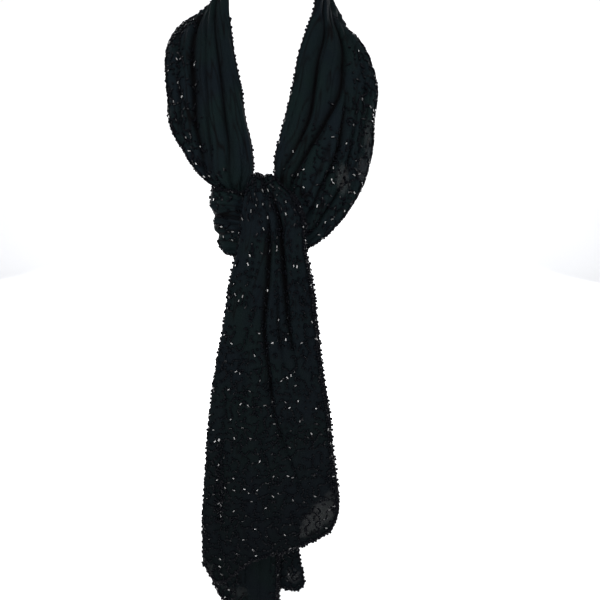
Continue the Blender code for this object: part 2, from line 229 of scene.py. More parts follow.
# The cloth is squeezed where it goes round the knot
LOOP_CRUMPLE = (
    ("right_under_knot", 2.0), ("right_above_knot", 1.2), ("right_low_chest", 0.0),
    ("left_chest", 0.0), ("left_knot_side", 1.4), ("crossing", 2.2), ("right_front", 4.6),
    ("turn", 5.0), ("hidden_end", 2.0),
)
print("the rolls stand up to", max(full for _, full in LOOP_FULLNESS), "mm over the sections")

# %% [markdown]
# ## From creases to a surface
# A fold's cross-section is a cusp with a soft bottom, which an exponential gives. On top of the
# folds that were listed come faint ripples, because crepe never lies dead flat: long ones along the
# fall of the cloth and short puckers where the bead thread draws it in.

# %% Measure the folds
# A fold's painted shade is full at DEEP_FOLD, and FOLD_EDGE is the power that eases it in
# The first two are in mm, the next is a factor and the last a power
SOFT_BOTTOM = 0.5
DEEP_FOLD = 5.5
CREASE_BITE = 1.2
FOLD_EDGE = 2.4


def crease_depth(creases, place_of, along, share, widths):
    """How deep all the creases are at each point of a grid, in mm."""
    deep = np.zeros(share.shape)
    for sides, stops in creases:
        at = np.array([place_of(name) for name, _, _ in stops])
        centre = curve(at, [stop[1] for stop in stops], along)
        depth = curve(at, [stop[2] for stop in stops], along)
        depth = np.where((along >= at[0]) & (along <= at[-1]), np.maximum(depth, 0), 0)
        away = (share - centre[:, None]) * widths[:, None]
        side = np.where(away < 0, sides[0], sides[1])
        cusp = np.exp(-(np.sqrt(away**2 + SOFT_BOTTOM**2) - SOFT_BOTTOM) / side)
        deep = np.maximum(deep, CREASE_BITE * depth[:, None] * cusp)
    return deep


def shadow_of(deep, shade):
    """Painted shade at each point, from 0 on a roll to 1 at the bottom of a fold."""
    return np.maximum(np.clip(deep / DEEP_FOLD, 0, 1) ** FOLD_EDGE, shade)


def facing(points):
    """The direction that each point of a grid faces."""
    normal = np.cross(np.gradient(points, axis=0), np.gradient(points, axis=1))
    return normal / np.linalg.norm(normal, axis=2, keepdims=True)


print("a fold is fully dark at", DEEP_FOLD, "mm")

# %% Measure the ripples
# For each kind: its size across and along the cloth in mm, and where it is read in the noise
DRAPE = (28, 90, 7.3)
LONG_FOLD = (11, 60, 0.0)
FINE_FOLD = (6, 55, 11.9)
PUCKER = (4.2, 5.5, 3.1)
WIDE_CRUMPLE = (17, 12, 17.7)
SMALL_CRUMPLE = (7, 7, 23.1)
# How high three of them stand, in mm
DRAPE_LIFT = 1.3
LONG_LIFT = 1.1
PUCKER_LIFT = 0.28
# A fine fold's line of painted shade is this wide, as a share of its height, and this dark
LINE_WIDTH = 0.12
LINE_SHADE = 0.45


def read_noise(kind, over, down, seed):
    """The noise at a place on the cloth, for one kind of ripple."""
    return noise.noise((over / kind[0], down / kind[1], seed + kind[2]))


def ripples(along, across, seed, fine, crumples=None):
    """Faint uneven folds and puckers over a grid, in mm, and their crease lines' painted shade.

    fine says how strongly the fine pleats show."""
    lift, lines = np.empty(across.shape), np.empty(across.shape)
    for row, down in enumerate(along):
        crumple = 0.0 if crumples is None else crumples[row]
        for column, over in enumerate(across[row]):
            here = (over, down, seed)
            long_fold = read_noise(LONG_FOLD, *here)
            fine_fold = abs(read_noise(FINE_FOLD, *here))
            high = DRAPE_LIFT * read_noise(DRAPE, *here) + LONG_LIFT * long_fold + fine * fine_fold
            high += PUCKER_LIFT * read_noise(PUCKER, *here)
            if crumple:
                high += crumple * abs(read_noise(WIDE_CRUMPLE, *here))
                high += crumple * 0.5 * read_noise(SMALL_CRUMPLE, *here)
            lift[row, column] = high
            lines[row, column] = max(0.0, 1 - fine_fold / LINE_WIDTH) * (LINE_SHADE * fine + long_fold)
    return lift, lines.clip(0, 1)


print("the fine pleats are about", FINE_FOLD[0], "mm wide, and the puckers", PUCKER[0], "mm")

# %% [markdown]
# ## A shell from a grid
# Chiffon is a sheet, so each stretch starts as a flat grid whose points are then laid on the worked
# out surface, and Solidify gives it a thickness. The grid's UV map holds real metres of cloth, so
# the weave keeps its size on every stretch. Two attributes ride along for the material: the shade
# painted into the colour at each point, deepest at the bottom of a fold, and how sheer the cloth is
# there. A bmesh and a new object are made many times in this scene, so two helpers do that first.

# %% Put a mesh in the scene
def mesh_from(bm, name):
    """A mesh with what the bmesh holds."""
    mesh = bpy.data.meshes.new(name)
    bm.to_mesh(mesh)
    bm.free()
    return mesh


def show(name, data):
    """A new object in the scene that holds the data."""
    item = bpy.data.objects.new(name, data)
    bpy.context.scene.collection.objects.link(item)
    return item


# %% Lay a grid on a surface
CLOTH = 0.6
stretches = {}


def lay_cloth(name, points, normals, along, folds, sheer):
    """A thin shell through a grid of points in mm."""
    rows, columns = points.shape[:2]
    across, down = chain_lengths(points, 1), chain_lengths(points, 0)
    bm = bmesh.new()
    bmesh.ops.create_grid(bm, x_segments=columns - 1, y_segments=rows - 1, size=0.5)
    # The fold attribute is painted shade: how far the colour is darkened at each point
    fold_shade_layer = bm.verts.layers.float.new("fold")
    sheer_layer = bm.verts.layers.float.new("sheer")
    uv = bm.loops.layers.uv.new("cloth")
    bm.verts.index_update()
    for vert in bm.verts:
        row, column = divmod(vert.index, columns)
        vert.co = Vector(points[row, column]) * MM
        vert[fold_shade_layer] = folds[row, column]
        vert[sheer_layer] = sheer[row, column]
    for face in bm.faces:
        for corner in face.loops:
            row, column = divmod(corner.vert.index, columns)
            corner[uv].uv = (across[row, column] * MM, along[row] * MM)
    mesh = mesh_from(bm, name)
    mesh.shade_smooth()
    cloth = show(name, mesh)
    shell = cloth.modifiers.new("thickness", "SOLIDIFY")
    shell.thickness = CLOTH * MM
    shell.offset = 0.0
    width, length = float(across[:, -1].mean()), float(down[-1].mean())
    stretches[name] = {
        "cloth": cloth,
        "points": points,
        "normals": normals,
        "along": along,
        "across": across,
        "down": down,
        "width": width,
        "length": length,
    }
    print(name, rows, "x", columns, "points,", round(width), "x", round(length), "mm of cloth")


# %% [markdown]
# ## Where the cloth is sheer
# One layer of chiffon shows what is behind it, two hardly do. The photographed shawl is doubled
# nearly everywhere, and only a few single-layer corners let the light through. They could be cut
# out and made as pieces of their own, but their edges are soft, so they are listed as soft spots:
# the stretch, then the middle and the half sizes in x and z, and how clear it is.

# %% Sheer spots, in mm
SHEER_SPOTS = (
    ("chiffon_front_tail", 61, -583, 15, 17, 1.0),
    ("chiffon_front_tail", 49, -596, 14, 13, 1.0),
    ("chiffon_front_tail", 36, -608, 10, 9, 0.9),
    ("chiffon_front_tail", 69, -566, 8, 12, 0.7),
    ("chiffon_front_tail", -74, -660, 8, 16, 0.7),
    ("chiffon_back_tail", 25, -698, 10, 11, 1.0),
    ("chiffon_back_tail", -57, -703, 10, 9, 0.7),
    ("chiffon_back_tail", -44, -714, 11, 9, 0.7),
    ("chiffon_left_band", 78, -196, 7, 16, 1.0),
    ("chiffon_left_band", 107, -158, 5, 24, 0.9),
    ("chiffon_left_band", 100, -186, 6, 14, 0.8),
)
SPOT_EDGE = 0.35


def sheer_at(name, points):
    """How sheer the cloth is at each point of a grid, from 0 to 1."""
    clear = np.zeros(points.shape[:2])
    for stretch, x, z, half_x, half_z, most in SHEER_SPOTS:
        if stretch == name:
            away = np.hypot((points[..., 0] - x) / half_x, (points[..., 2] - z) / half_z)
            soft = np.clip((1 + SPOT_EDGE - away) / (2 * SPOT_EDGE), 0, 1)
            clear = np.maximum(clear, most * soft * soft * (3 - 2 * soft))
    return clear


print(len(SHEER_SPOTS), "soft spots make up the sheer corners")

# %% [markdown]
# ## The bands, the nape and the wrap
# These four are one strip, so they share its creases, and their ripples run on across the joins.
# Each is a piece of its own all the same, because it stands in for a solid of its own.

# %% Lay the loop's four stretches
ROW_STEP = 3.0
LOOP_COLUMNS = 96
# Where the loop is read in the noise, and how strongly its fine pleats show
LOOP_SEED = 1.7
LOOP_PLEATS = 2.2
# How square the band's two edges turn: a higher power keeps it flat for longer
LOOP_SQUARE = 9


def lay_loop(name, start, end):
    """The stretch of the loop between two places along it."""
    rows = round((end - start) / ROW_STEP)
    along = np.linspace(start, end, rows + 1)
    sections = curve(LOOP_KNOTS, LOOP_POINTS, along)
    share = np.broadcast_to(np.linspace(0, 1, LOOP_COLUMNS + 1), (rows + 1, LOOP_COLUMNS + 1))
    inner, middle, outer = (sections[:, None, i] for i in range(3))
    a = share[..., None]
    base = inner * (1 - a) * (1 - 2 * a) + middle * 4 * a * (1 - a) + outer * a * (2 * a - 1)
    widths = np.linalg.norm(np.diff(sections, axis=1), axis=2).sum(axis=1)
    deep = crease_depth(LOOP_CREASES, loop_place, along, share, widths)
    full = eased(LOOP_FULLNESS, loop_place, along)[:, None]
    rolled = 1 - np.abs(2 * share - 1) ** LOOP_SQUARE
    crumples = eased(LOOP_CRUMPLE, loop_place, along).clip(0)
    rippled, lines = ripples(along, share * widths[:, None], LOOP_SEED, LOOP_PLEATS, crumples)
    points = base + facing(base) * (full * rolled - deep + rippled)[..., None]
    # The folds' depth and the fine crease lines become the painted shade of the fold attribute
    lay_cloth(name, points, facing(points), along, shadow_of(deep, lines), sheer_at(name, points))


RIGHT_SEAM, LEFT_SEAM, KNOT_SEAM = (loop_place(n) for n in ("right_back", "left_back", "crossing"))
lay_loop("chiffon_right_band", 0.0, RIGHT_SEAM)
lay_loop("chiffon_nape", RIGHT_SEAM, LEFT_SEAM)
lay_loop("chiffon_left_band", LEFT_SEAM, KNOT_SEAM)
lay_loop("chiffon_wrap", KNOT_SEAM, LOOP_KNOTS[-1])

# %% [markdown]
# ## The tails
# Each end of the shawl is folded lengthwise, so it hangs in two layers joined by a soft turn along
# its left edge. The front tail rises behind the knot, bends over it and fans out down the front.
# The two layers could be two sheets, but they would part at the turn. So one grid runs from the
# upper layer's right edge, round the turn, and back along the under layer. Its sections say where
# it hangs, and its hems, which are not straight, are lines of their own.

# %% Sections of the front tail, in mm
# name, left edge x, right edge x, under layer's right edge x, depth y, height z, right side's drop
FRONT_SECTIONS = (
    ("hidden_end", -19, 11, 8, -106.8, -262, 0),
    ("rise", -16, 8, 6, -106.8, -226, 1),
    ("behind_top", -15, 7, 5, -112, -202, 3),
    ("top", -15, 8, 6, -128, -191, 5),
    ("before_top", -17, 14, 8, -145, -198, 4),
    ("fall_start", -21, 26, 14, -151, -210, 0),
    ("over_knot", -25, 38, 20, -153, -236, 0),
    ("below_knot", -29, 39, 22, -153, -263, 0),
    ("narrow", -37, 45, 24, -150, -294, 0),
    ("upper", -47, 52, 26, -147, -350, 0),
    ("middle", -58, 58, 26, -144, -403, 0),
    ("waist", -66, 66, 26, -142, -453, 0),
    ("lower", -72, 71, 28, -140, -503, 0),
    ("low", -76, 76, 30, -139, -545, 0),
    ("near_hem", -80, 78, 31, -138, -579, 0),
    ("hem", -83, 79, 31, -138, -640, 0),
)
# Height of the hem across a layer, from its left edge to its right edge
FRONT_HEM = (
    (0.00, -660), (0.03, -671), (0.07, -679), (0.12, -684), (0.19, -675), (0.27, -661),
    (0.36, -650), (0.46, -643), (0.58, -640), (0.70, -631), (0.84, -620), (0.94, -610),
    (0.98, -597), (1.00, -582),
)
FRONT_UNDER_HEM = ((0.0, -660), (0.2, -662), (0.5, -648), (1.0, -626))
print("the front tail has", len(FRONT_SECTIONS), "sections")

# %% Creases and fullness of the front tail
FRONT_CREASES = (
    ((7.0, 1.6), (
        ("rise", 0.44, 1.0), ("top", 0.46, 2.4), ("before_top", 0.47, 3.6),
        ("fall_start", 0.54, 4.6), ("over_knot", 0.61, 6.0), ("below_knot", 0.66, 6.8),
        ("narrow", 0.675, 7.2), ("upper", 0.70, 5.6), ("middle", 0.76, 2.2), ("waist", 0.79, 0.0),
    )),
    ((8.0, 1.6), (
        ("fall_start", 0.38, 0.0), ("over_knot", 0.42, 4.2), ("below_knot", 0.46, 6.4),
        ("narrow", 0.46, 6.2), ("upper", 0.43, 6.2), ("middle", 0.50, 5.8), ("waist", 0.535, 4.8),
        ("lower", 0.63, 4.0), ("low", 0.71, 2.0), ("near_hem", 0.76, 0.0),
    )),
    ((5.0, 5.0), (
        ("below_knot", 0.56, 0.0), ("narrow", 0.565, 2.6), ("upper", 0.57, 4.4),
        ("middle", 0.63, 2.8), ("waist", 0.67, 0.0),
    )),
    ((9.0, 6.0), (
        ("top", 0.20, 1.2), ("over_knot", 0.20, 1.4), ("narrow", 0.22, 1.6), ("middle", 0.25, 2.0),
        ("waist", 0.27, 2.4), ("low", 0.30, 2.0), ("hem", 0.33, 1.6),
    )),
    ((4.0, 8.0), (
        ("over_knot", 0.86, 1.6), ("narrow", 0.87, 2.2), ("upper", 0.87, 2.6),
        ("middle", 0.89, 2.4), ("lower", 0.90, 1.6), ("near_hem", 0.90, 0.0),
    )),
    ((10.0, 6.0), (
        ("middle", 0.40, 0.0), ("waist", 0.42, 2.0), ("lower", 0.44, 2.4), ("low", 0.47, 2.8),
        ("near_hem", 0.50, 2.8), ("hem", 0.53, 2.2),
    )),
    ((5.0, 9.0), (
        ("middle", 0.10, 0.0), ("waist", 0.11, 1.8), ("low", 0.09, 2.2), ("hem", 0.12, 1.6),
    )),
)
FRONT_UNDER_CREASES = (
    ((5.0, 3.0), (
        ("over_knot", 0.35, 1.6), ("upper", 0.32, 2.2), ("waist", 0.30, 2.4),
        ("near_hem", 0.34, 1.4),
    )),
    ((4.0, 7.0), (
        ("below_knot", 0.66, 1.4), ("upper", 0.62, 2.0), ("lower", 0.66, 2.2), ("hem", 0.70, 1.2),
    )),
)
FRONT_FULLNESS = (
    ("hidden_end", 1.5), ("rise", 1.6), ("top", 3.0), ("before_top", 4.6), ("over_knot", 7.0),
    ("narrow", 7.6), ("upper", 7.4), ("middle", 7.0), ("lower", 6.6), ("hem", 6.0),
)
print(len(FRONT_CREASES + FRONT_UNDER_CREASES), "creases in the front tail")

# %% Sections, creases and fullness of the back tail, laid out in the same way
BACK_SECTIONS = (
    ("in_knot", -26, 5, 5, -124.5, -266, 0),
    ("under_knot", -33, 9, 9, -125, -281, -2),
    ("upper", -43, 26, 29, -119, -363, 0),
    ("middle", -56, 24, 37, -117, -474, 0),
    ("lower", -66, 14, 36, -116, -581, 0),
    ("near_hem", -71, 7, 31, -115, -645, 0),
    ("hem", -75, 6, 39, -115, -690, 0),
)
BACK_HEM = ((0.0, -706), (0.06, -718), (0.16, -727), (0.4, -738), (0.75, -744), (1.0, -740))
BACK_UNDER_HEM = ((0.0, -706), (0.15, -714), (0.6, -710), (0.8, -719), (0.93, -720), (1.0, -709))
BACK_CREASES = (
    ((3.5, 2.2), (
        ("under_knot", 0.30, 1.5), ("upper", 0.34, 2.8), ("middle", 0.36, 3.2),
        ("near_hem", 0.44, 2.6), ("hem", 0.46, 2.0),
    )),
    ((2.2, 5.0), (
        ("upper", 0.58, 1.5), ("middle", 0.60, 3.2), ("lower", 0.64, 2.6), ("near_hem", 0.66, 2.2),
        ("hem", 0.68, 1.8),
    )),
    ((3.0, 3.0), (
        ("middle", 0.80, 1.6), ("lower", 0.83, 2.2), ("near_hem", 0.85, 2.0), ("hem", 0.86, 1.6),
    )),
    ((4.0, 4.0), (
        ("middle", 0.14, 1.0), ("lower", 0.16, 1.8), ("hem", 0.18, 1.4),
    )),
)
BACK_UNDER_CREASES = (
    ((6.0, 3.0), (
        ("under_knot", 0.30, 1.2), ("upper", 0.28, 2.6), ("middle", 0.30, 3.2),
        ("lower", 0.27, 2.6), ("hem", 0.24, 1.2),
    )),
    ((3.0, 6.0), (
        ("upper", 0.52, 1.2), ("middle", 0.50, 2.8), ("lower", 0.53, 3.0), ("near_hem", 0.56, 2.0),
    )),
    ((5.0, 2.4), (
        ("upper", 0.76, 1.2), ("middle", 0.74, 2.6), ("lower", 0.78, 2.4), ("hem", 0.80, 1.0),
    )),
)
BACK_FULLNESS = (
    ("under_knot", 1.6), ("upper", 4.0), ("middle", 5.0), ("near_hem", 4.6), ("hem", 4.0),
)
print(len(BACK_CREASES + BACK_UNDER_CREASES), "creases in the back tail")

# %% Sizes of a folded tail, in mm, and its columns
LAYER_GAP = 5.5
UPPER_COLUMNS = 84
TURN_COLUMNS = 8
UNDER_COLUMNS = 40
UNDER_FULLNESS = 2.0
# The same three values as for the loop
TAIL_SEED = 5.2
TAIL_PLEATS = 1.2
TAIL_SQUARE = 6
# Where the under layer starts in the ripples, in mm, so that its own differ from the upper layer's
UNDER_START = 400
# The shares of each layer beside the turn where its folds die away into the turn
UPPER_HELD = 0.08
UNDER_HELD = 0.1
# How much of the worked out ripples and creases shows on each layer
UPPER_RIPPLED = 0.8
UNDER_RIPPLED = 0.4
UNDER_CREASED = 0.8
print("a tail's grid has", UPPER_COLUMNS + TURN_COLUMNS + UNDER_COLUMNS + 1, "points across")

# %% Find the heights of a tail's points
# The hem's line takes over from the sections at the last few of them
HEM_SECTIONS = 3


def tail_heights(share, hems, along, knots, heights, hung):
    """Each point's height: as its section hung it, and from the last sections on down to the hems."""
    turned = UPPER_COLUMNS + 1
    hem = np.empty(share.shape)
    hem[:, :turned] = np.interp(share[:, :turned], *np.array(hems[0], float).T)
    hem[:, turned:] = np.interp(share[:, turned:], *np.array(hems[1], float).T)
    starts = knots[-HEM_SECTIONS]
    done = np.clip((along - starts) / (knots[-1] - starts), 0, 1)[:, None]
    top = curve(knots, heights, np.array([starts]))[0]
    return np.where(done > 0, top + (hem - top) * done, hung)


print("the front tail's hem reaches down to", min(z for _, z in FRONT_HEM), "mm")


# %% Lay a folded tail
def lay_tail(name, sections, hems, creases, under_creases, fullness, shade):
    """A tail's two layers as one grid, from the upper layer's right edge round to the under's.

    shade says how much painted shade the cloth gets at the top and at the hem."""
    names = [row[0] for row in sections]
    table = np.array([row[1:] for row in sections], float)
    knots = chain_lengths(table[:, 3:5])
    rows = round(knots[-1] / ROW_STEP)
    along = np.linspace(0, knots[-1], rows + 1)
    section = curve(knots, table, along)
    left, right, under_right, depth, height, drop = (section[:, i, None] for i in range(6))

    def place(stop):
        return knots[names.index(stop)]

    upper = np.tile(np.linspace(1, 0, UPPER_COLUMNS + 1), (rows + 1, 1))
    under = np.tile(np.linspace(0, 1, UNDER_COLUMNS + 1), (rows + 1, 1))
    upper_width, under_width = (right - left)[:, 0], (under_right - left)[:, 0]
    upper_deep = crease_depth(creases, place, along, upper, upper_width)
    under_deep = crease_depth(under_creases, place, along, under, under_width)
    upper_across, under_across = upper * upper_width[:, None], under * under_width[:, None]
    upper_ripple, upper_lines = ripples(along, upper_across, TAIL_SEED, TAIL_PLEATS)
    under_ripple, under_lines = ripples(along, UNDER_START - under_across, TAIL_SEED, TAIL_PLEATS)
    held = 1 - (1 - np.minimum(upper, UPPER_HELD) / UPPER_HELD) ** 3
    rolled = eased(fullness, place, along)[:, None] * (1 - np.abs(2 * upper - 1) ** TAIL_SQUARE)
    upper_off = (rolled - upper_deep + UPPER_RIPPLED * upper_ripple) * held
    under_rolled = UNDER_FULLNESS * (1 - np.abs(2 * under - 1) ** TAIL_SQUARE)
    under_off = -LAYER_GAP - (under_rolled - under_deep * UNDER_CREASED)
    under_off = under_off - UNDER_RIPPLED * under_ripple * np.minimum(under / UNDER_HELD, 1)

    angle = np.linspace(0, math.pi, TURN_COLUMNS + 1)[None, 1:-1]
    radius = LAYER_GAP / 2
    turn_x = left - radius * np.sin(angle)
    turn_off = radius * np.cos(angle) - radius + 0 * left
    nowhere = np.zeros(turn_x.shape)

    x = np.hstack((left + upper * (right - left), turn_x, left + under * (under_right - left)))
    share = np.hstack((upper, nowhere, under))
    off = np.hstack((upper_off, turn_off, under_off))
    folds = np.hstack((upper_deep, nowhere, under_deep))
    lines = np.hstack((upper_lines, nowhere, under_lines))
    z = tail_heights(share, hems, along, knots, table[:, 4], height - drop * share)

    path = np.gradient(section[:, 3:5], axis=0)
    path /= np.linalg.norm(path, axis=1, keepdims=True)
    y = depth + path[:, 1, None] * off
    z = z - path[:, 0, None] * off
    points = np.stack((x, y, z), axis=2)
    shades = np.linspace(*shade, rows + 1)[:, None]
    shadow = np.maximum(shadow_of(folds, lines), shades)
    lay_cloth(name, points, -facing(points), along, shadow, sheer_at(name, points))


# The front tail's painted shade deepens towards its hem, and the back tail has painted shade all over
lay_tail(
    "chiffon_front_tail",
    FRONT_SECTIONS,
    (FRONT_HEM, FRONT_UNDER_HEM),
    FRONT_CREASES,
    FRONT_UNDER_CREASES,
    FRONT_FULLNESS,
    (0.0, 0.65),
)
lay_tail(
    "chiffon_back_tail",
    BACK_SECTIONS,
    (BACK_HEM, BACK_UNDER_HEM),
    BACK_CREASES,
    BACK_UNDER_CREASES,
    BACK_FULLNESS,
    (0.4, 0.5),
)

# %% [markdown]
# ## Black glass beads
# The pattern is vermicelli work: short wandering lines of bugle beads that seldom cross, sewn all
# over the cloth. A bugle is a cut glass tube, so it is a six-sided rod cut off square, and it stays
# flat-faced, because it is the flats that flash. The beads along the edges are rounder seed beads.
# There are thousands of them, so each has only a few faces: no hole and no bevel would show.

# %% Make one bugle bead and one seed bead
BUGLE_LENGTH = 2.8
BUGLE_RADIUS = 1.05
SEED_RADIUS = 1.8

bm = bmesh.new()
bmesh.ops.create_cone(
    bm,
    cap_ends=True,
    segments=6,
    radius1=BUGLE_RADIUS * MM,
    radius2=BUGLE_RADIUS * MM,
    depth=BUGLE_LENGTH * MM,
)
BUGLE = mesh_from(bm, "bugle_bead")
bm = bmesh.new()
bmesh.ops.create_icosphere(bm, subdivisions=1, radius=SEED_RADIUS * MM)
SEED = mesh_from(bm, "seed_bead")
print("a bugle bead has", len(BUGLE.polygons), "faces and a seed bead", len(SEED.polygons))

# %% [markdown]
# ## Sewing beads on
# A bead lies along its stitch and rests on the cloth, so each one gets a place on the surface, the
# way its thread runs and the way the cloth faces. Sewn beads are never quite level, so each tilts a
# little and is rolled at random round its hole, from a fixed seed. Particles or instances would
# scatter them faster, but they would follow no thread. Here the beads of a stretch are copied into
# one mesh, which makes them one piece.

# %% Sew a bead at a place on the cloth
# How much a bead may lean out of the cloth, and how much shorter or longer it may be cut
TILT = 0.16
CUT = (0.7, 1.15)


class BeadWork:
    """The beads of one stretch, joined as one piece."""

    def __init__(self, number):
        self.bm = bmesh.new()
        self.chance = random.Random(number)
        self.count = 0

    def sew(self, bead, at, axis, out, tilt=TILT):
        axis = Vector(axis) + Vector(out) * self.chance.uniform(-tilt, tilt)
        axis.normalize()
        side = axis.cross(Vector(out)).normalized()
        turn = Matrix((side, side.cross(axis) * -1, axis)).transposed().to_4x4()
        roll = Matrix.Rotation(self.chance.uniform(0, math.tau), 4, "Z")
        longer = Matrix.Scale(self.chance.uniform(*CUT), 4, (0, 0, 1))
        copy = bead.copy()
        copy.transform(Matrix.Translation(Vector(at) * MM) @ turn @ roll @ longer)
        self.bm.from_mesh(copy)
        bpy.data.meshes.remove(copy)
        self.count += 1

    def finish(self, name):
        self.bm.normal_update()
        beads = show(name, mesh_from(self.bm, name))
        triangles = sum(len(p.vertices) - 2 for p in beads.data.polygons)
        print(name, self.count, "beads,", triangles, "triangles")
        return beads


print("a bead leans by up to", round(math.degrees(math.atan(TILT))), "degrees")

# %% Find a place on the cloth
INSET = 1.0


def on_cloth(cloth, across, down, side=1):
    """The point across mm from a stretch's first edge and down mm along it, and its facing.

    It gives nothing where that is off the cloth."""
    rows, columns = cloth["across"].shape
    guess = int(np.interp(down, cloth["down"][:, columns // 2], np.arange(rows)))
    widths = cloth["across"][guess]
    column = float(np.interp(across / cloth["nominal"] * widths[-1], widths, np.arange(columns)))
    left = min(int(column), columns - 2)
    lengths = cloth["down"][:, left]
    if not (INSET < across < cloth["nominal"] - INSET and INSET < down < lengths[-1] - INSET):
        return None
    row = float(np.interp(down, lengths, np.arange(rows)))
    top = min(int(row), rows - 2)
    f, g = row - top, column - left
    found = []
    for grid in (cloth["points"], cloth["normals"]):
        near = grid[top, left] * (1 - g) + grid[top, left + 1] * g
        far = grid[top + 1, left] * (1 - g) + grid[top + 1, left + 1] * g
        found.append(near * (1 - f) + far * f)
    return found[0], side * found[1] / np.linalg.norm(found[1])


print("beads stay", INSET, "mm inside the cloth")

# %% [markdown]
# ## The vermicelli chart
# A maker pricks a small repeat onto card and pounces it down the cloth. The chart below is such a
# card: six kinds of squiggle, each given by how far the line turns after every bead, and a block
# of four by four squares that says which squiggle sits in each and which way it starts.

# %% The chart: turns in degrees after each bead, then the block of squiggles
SQUIGGLES = {
    "curl": (52, 56, 50, 46, 36, 20),
    "hook": (4, -8, 38, 62, 58, 30),
    "snake": (48, 52, 34, -30, -56, -50),
    "wave": (36, -6, -48, -40, 6, 44, 30),
    "bow": (26, 34, 30, 34, 24),
    "crook": (-62, -20, 30, 58, 40),
}
CHART = (
    (("curl", 20), ("snake", 110), ("hook", 250), ("wave", 70)),
    (("bow", 160), ("crook", 300), ("snake", 20), ("hook", 95)),
    (("snake", 200), ("hook", 340), ("wave", 140), ("curl", 215)),
    (("crook", 60), ("wave", 10), ("curl", 120), ("snake", 285)),
)
SQUARE = 12.5
STITCH = 3.7
print(sum(len(SQUIGGLES[kind]) + 1 for row in CHART for kind, _ in row), "beads in the whole chart")

# %% Sew the chart on
BEAD_LIFT = CLOTH / 2 + BUGLE_RADIUS * 0.8
# How far a squiggle is off its square, in mm and in degrees
OFF_SQUARE = 1.6
OFF_TURN = 25
# The share of the beads that is left where the chart is worked fully, and the shortest stitch
SEWN = 0.88
SHORTEST = 0.62 * STITCH


def squiggle(kind, heading, flipped):
    """The points of one squiggle on flat cloth, round its own middle."""
    angle = math.radians(heading)
    points = [(0.0, 0.0)]
    for turn in (0, *SQUIGGLES[kind]):
        angle += math.radians(-turn if flipped else turn)
        x, y = points[-1]
        points.append((x + STITCH * math.cos(angle), y + STITCH * math.sin(angle)))
    path = np.array(points)
    return path - path.mean(axis=0)


def sew_squiggles(work, cloth, closeness, side=1):
    """Vermicelli over a side of a stretch. closeness(across share, down) says how much is worked."""
    width, length = cloth["nominal"], cloth["down"][-1].max()
    chance = work.chance
    for column in range(int(width // SQUARE) + 1):
        for row in range(-1, int(length // SQUARE) + 1):
            kind, heading = CHART[row % 4][column % 4]
            flipped = (row // 4 + column // 4) % 2 == 1
            path = squiggle(kind, heading + chance.uniform(-OFF_TURN, OFF_TURN), flipped)
            middle = ((column + 0.5) * SQUARE, (row + 0.5 + 0.5 * (column % 2)) * SQUARE)
            path += np.array(middle) + [chance.uniform(-OFF_SQUARE, OFF_SQUARE) for _ in range(2)]
            close = closeness(middle[0] / width, middle[1])
            if chance.random() > close:
                continue
            places = [on_cloth(cloth, *point, side) for point in path]
            for here, there in zip(places, places[1:]):
                if here is None or there is None or chance.random() > SEWN * close:
                    continue
                axis = there[0] - here[0]
                if np.linalg.norm(axis) > SHORTEST:
                    work.sew(BUGLE, (here[0] + there[0]) / 2 + here[1] * BEAD_LIFT, axis, here[1])


print("a bugle's middle lies", round(BEAD_LIFT, 2), "mm off the middle of the cloth")

# %% [markdown]
# ## Beaded edges
# The selvedges and hems are bound with a close row of bugles and a picot of seed beads that stand
# just proud, which is what makes the outline look serrated. Further in, a row or two of beads
# follows the edge, and in a few places the beads crowd together. The edge's beads are sewn by
# walking along the edge of the grid, a stitch at a time.

# %% Sew along an edge
EDGE_STITCH = 3.0
EDGE_LIFT = 0.15
PICOT_STEP = 5.8
# How far a picot stands out from the edge, and how much it may lean
PICOT_REACH = (0.3, 1.9)
PICOT_TILT = 0.5
# How far the beads veer off the edge's run, in radians: those on it, and those inside it
EDGE_VEER = 0.35
ROW_VEER = 1.3
# How many columns to each side of the turn's middle say which way is out
TURN_REACH = 3


def edge_of(cloth, side):
    """The points of an edge, the way out of the cloth there, and the way that it faces."""
    points, normals = cloth["points"], cloth["normals"]
    if side == "hem":
        return points[-1], points[-1] - points[-2], normals[-1]
    if side == "turn":
        column = UPPER_COLUMNS + 1 + TURN_COLUMNS // 2
        beside = (points[:, column - TURN_REACH] + points[:, column + TURN_REACH]) / 2
        return points[:, column], points[:, column] - beside, normals[:, column]
    column, inside = (0, 1) if side == "first" else (-1, -2)
    return points[:, column], points[:, column] - points[:, inside], normals[:, column]


def sew_edge(work, cloth, side, rows, span=(0.0, 1.0)):
    """Rows of beads so many mm inside an edge, over a span of it, with picots along it."""
    points, outward, facings = edge_of(cloth, side)
    knots = chain_lengths(points)
    start, end = knots[-1] * span[0], knots[-1] * span[1]
    uniform = work.chance.uniform

    def read(grid, at):
        return np.array([np.interp(at, knots, grid[:, i]) for i in range(3)])

    def ways(at):
        """The edge's run at a place, the way out there and the way that it faces."""
        run = read(points, at + 1) - read(points, at - 1)
        return [way / np.linalg.norm(way) for way in (run, read(outward, at), read(facings, at))]

    for depth in rows:
        on_edge = depth < 1
        most = EDGE_VEER if on_edge else ROW_VEER
        at = start + uniform(0.5, 2)
        while at < end - 1:
            run, out, face = ways(at)
            veer = uniform(-most, most)
            axis = run * math.cos(veer) + out * math.sin(veer)
            lift = EDGE_LIFT if on_edge else BEAD_LIFT
            work.sew(BUGLE, read(points, at) - out * depth + face * lift, axis, face)
            at += EDGE_STITCH * uniform(0.92, 1.15)
    at = start + PICOT_STEP / 2
    while at < end - 1:
        _, out, face = ways(at)
        work.sew(SEED, read(points, at) + out * uniform(*PICOT_REACH), out, face, PICOT_TILT)
        at += PICOT_STEP * uniform(0.5, 1.6)


print("an edge has a bugle every", EDGE_STITCH, "mm and a picot every", PICOT_STEP, "mm")

# %% Crowd beads together
CLUSTER_TILT = 0.6


